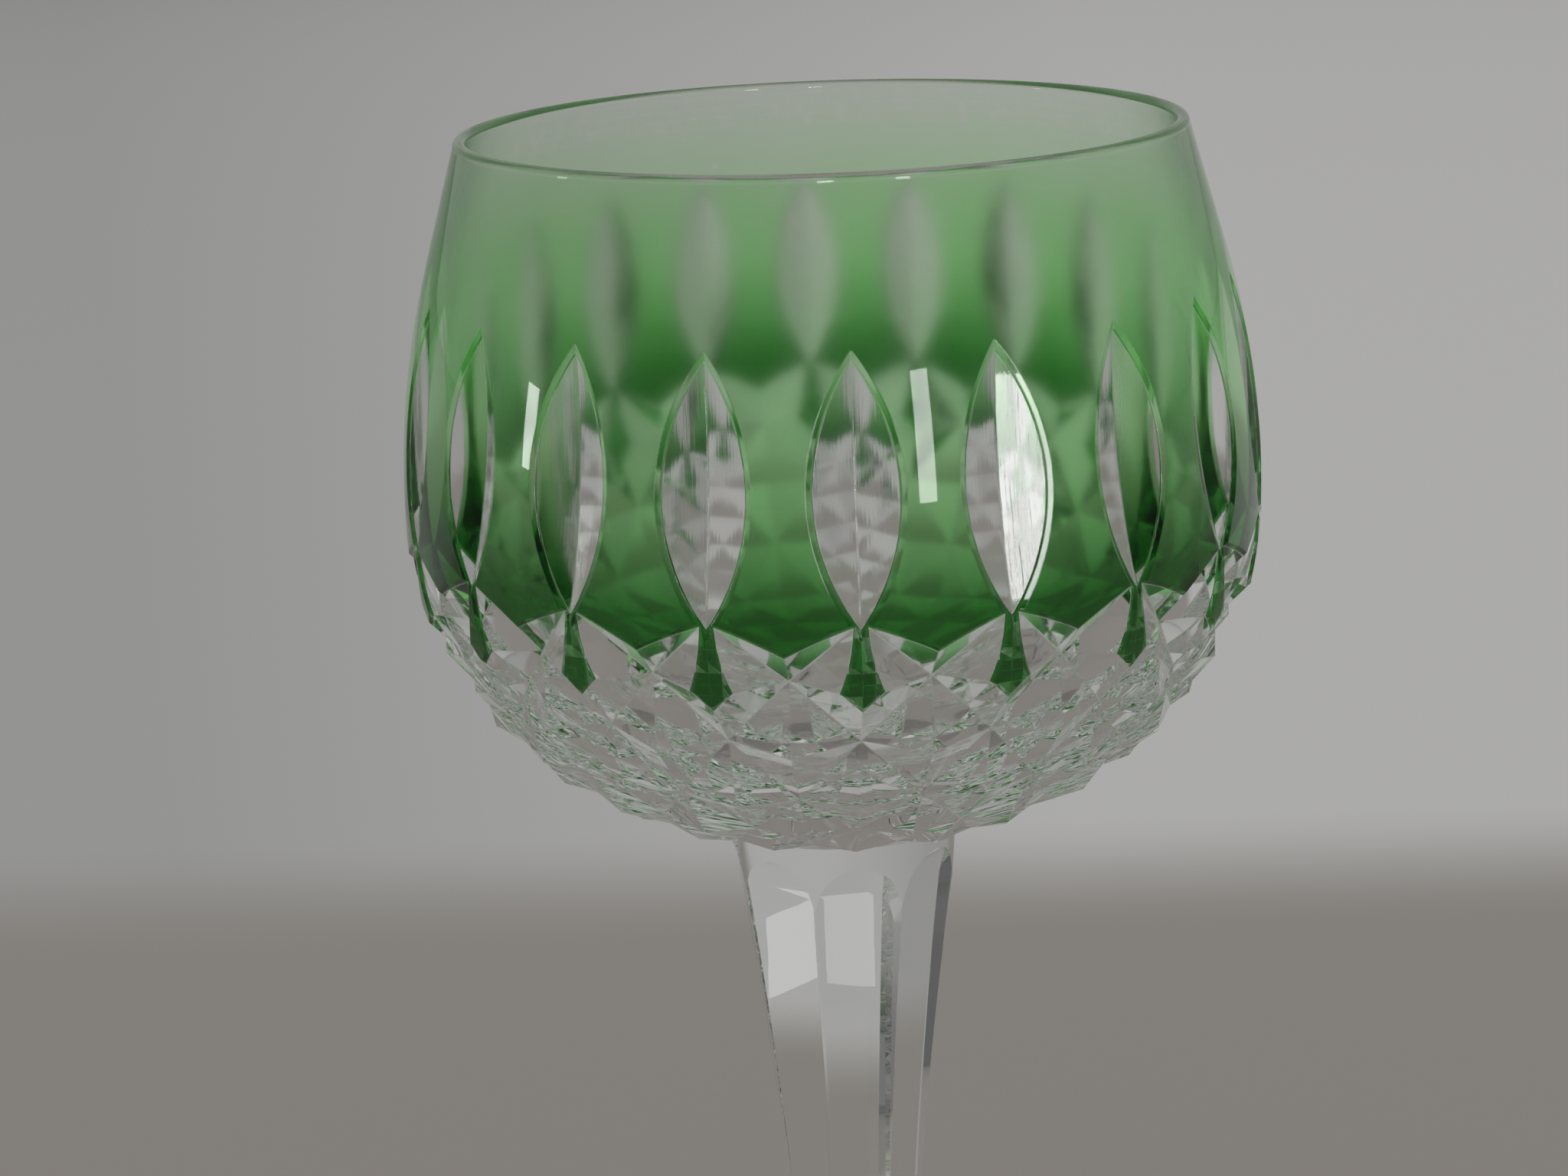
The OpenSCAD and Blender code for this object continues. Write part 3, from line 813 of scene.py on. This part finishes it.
to_part = Matrix.Rotation(VIEW_SIDE, 3, "Z")
ahead = Vector((math.sin(YAW) * math.cos(PITCH), math.cos(YAW) * math.cos(PITCH), -math.sin(PITCH)))
right = Vector((math.cos(YAW), -math.sin(YAW), 0))
up = right.cross(ahead)
rolled_right = right * math.cos(ROLL) + up * math.sin(ROLL)
rolled_up = up * math.cos(ROLL) - right * math.sin(ROLL)
axes = Matrix([to_part @ v for v in (rolled_right, rolled_up, -ahead)]).transposed()
camera_data = bpy.data.cameras.new("camera")
camera_data.sensor_width = 36.0
camera_data.lens = FOCAL_PX * camera_data.sensor_width / FRAME_W
camera_data.clip_start = 0.01
camera = bpy.data.objects.new("camera", camera_data)
camera.matrix_world = Matrix.Translation(
    to_part @ Vector((0, -CAMERA_OUT, TOTAL_H + CAMERA_UP)) * MM) @ axes.to_4x4()
bpy.context.scene.collection.objects.link(camera)
bpy.context.scene.camera = camera

# Floor: a warm grey table that gives way to a paler ground behind the glass. The ground carries painted shade, darker
# on the left and paler on the right, in a fan of straight lines that meet below the camera's place.

FLOOR_SIZE, FLOOR_LOW = 12.0, 0.0002   # the floor lies a hair below the ring that stands on it
TABLE_END, TABLE_SOFT = 0.263, 0.03    # how far behind the glass the table ends, and half the width of its soft edge
TABLE_COLOUR = (0.46, 0.43, 0.4, 1)
# painted shade and light on the ground: the left colour is the shaded side, the right colour the lit side
GROUND_SHADED_LEFT, GROUND_LIT_RIGHT = (0.6, 0.597, 0.585, 1), (0.82, 0.815, 0.8, 1)
PAINTED_SHADE_FAN = -0.3, 0.1                        # slants of the lines on which the painted shade of the ground is darkest and palest
BEHIND, RIGHTWARD = to_part @ Vector((0, 1, 0)), to_part @ Vector((1, 0, 0))


def floor_sockets(tree, place):
    depth = along(tree, place, BEHIND)
    edge = node(tree, "ShaderNodeMapRange", {
        "Value": depth, "From Min": TABLE_END - TABLE_SOFT, "From Max": TABLE_END + TABLE_SOFT},
        interpolation_type="SMOOTHSTEP")
    slant = calc(tree, "DIVIDE", along(tree, place, RIGHTWARD), calc(tree, "ADD", depth, CAMERA_OUT * MM))
    # painted shade across the ground, darker towards the left
    ground = tint(tree, between(tree, slant, *PAINTED_SHADE_FAN, 0.0, 1.0), GROUND_SHADED_LEFT, GROUND_LIT_RIGHT)
    return {
        "Base Color": tint(tree, edge.outputs[0], TABLE_COLOUR, ground),
        "Roughness": between(tree, noise(tree, place, TABLE_SCALE), *MOST, *TABLE_ROUGH),
        "Specular IOR Level": 0.0,
    }


half = FLOOR_SIZE / 2
floor_mesh = bpy.data.meshes.new("floor")
floor_mesh.from_pydata([(-half, -half, 0), (half, -half, 0), (half, half, 0), (-half, half, 0)], [], [[0, 1, 2, 3]])
floor_mesh.materials.append(new_material("floor", "ShaderNodeBsdfPrincipled", floor_sockets))
floor = bpy.data.objects.new("floor", floor_mesh)
floor.location.z = -FLOOR_LOW
bpy.context.scene.collection.objects.link(floor)

# Light: a wide soft source overhead, in two parts of which only the ceiling is seen through glass, and small lights
# at the places that the bowl and the stem mirror, which show as reflections only

CEILING_SIZE, CEILING_Z, CEILING_RADIANCE = 9.0, 3.0, 0.13
FILL_Z, FILL_RADIANCE = 2.9, 0.23
OVERHEAD = 0.01   # the wide lights hang a little off the axis, so that the way they turn is settled
AIM_Z = 0.16      # height that the lights face
MIRRORED = (      # name, azimuth, distance, height, width, tall, radiance
    ("window", 23.7, 1.3, 0.33, 0.1, 0.4, 8.0),
    ("strip", 1.0, 0.6, 0.163, 0.05, 0.245, 12.0),
    ("side_strip", -82.5, 1.02, 0.2, 0.07, 0.16, 8.0),
    ("stem_glint_left", -79.3, 0.126, 0.0283, 0.007, 0.009, 2.2),
    ("stem_glint_front", 15.1, 0.1234, 0.0224, 0.0075, 0.009, 2.2),
)


def area_light(name, azimuth, distance, height, width, tall, radiance):
    """A soft rectangle that faces the glass; azimuth is measured from the camera's side, to its right."""
    data = bpy.data.lights.new(name, "AREA")
    data.shape, data.size, data.size_y = "RECTANGLE", width, tall
    data.energy = radiance * math.pi * width * tall
    light = bpy.data.objects.new(name, data)
    at = to_part @ Matrix.Rotation(math.radians(azimuth), 3, "Z") @ Vector((0, -distance, height))
    facing = (at - Vector((0, 0, AIM_Z))).to_track_quat("Z", "Y").to_matrix().to_4x4()
    light.matrix_world = Matrix.Translation(at) @ facing
    light.visible_camera = False
    bpy.context.scene.collection.objects.link(light)
    return light


ceiling = area_light("ceiling", 0, OVERHEAD, CEILING_Z, CEILING_SIZE, CEILING_SIZE, CEILING_RADIANCE)
ceiling.visible_glossy = False
fill = area_light("fill", 0, OVERHEAD, FILL_Z, CEILING_SIZE, CEILING_SIZE, FILL_RADIANCE)
fill.visible_glossy = fill.visible_transmission = False
for row in MIRRORED:
    mirrored = area_light(*row)
    mirrored.visible_diffuse = mirrored.visible_transmission = False

# Room: dark on the camera's side, pale behind the glass

ROOM_FRONT, ROOM_BACK, ROOM_TURN = (0.08, 0.08, 0.082, 1), (0.38, 0.38, 0.375, 1), (-0.5, 0.5)
world = bpy.data.worlds.new("room")
world.use_nodes = True
bpy.context.scene.world = world
tree = world.node_tree
tree.nodes.clear()
direction = node(tree, "ShaderNodeTexCoord").outputs["Generated"]
pale = between(tree, along(tree, direction, BEHIND), *ROOM_TURN, 0.0, 1.0)
room = tint(tree, pale, ROOM_FRONT, ROOM_BACK)
node(tree, "ShaderNodeOutputWorld", {"Surface": node(tree, "ShaderNodeBackground", {"Color": room}).outputs[0]})

scene = bpy.context.scene
scene.view_settings.view_transform = "Standard"
scene.cycles.max_bounces = 40
scene.cycles.transmission_bounces = 40
scene.cycles.glossy_bounces = 20
scene.cycles.transparent_max_bounces = 64
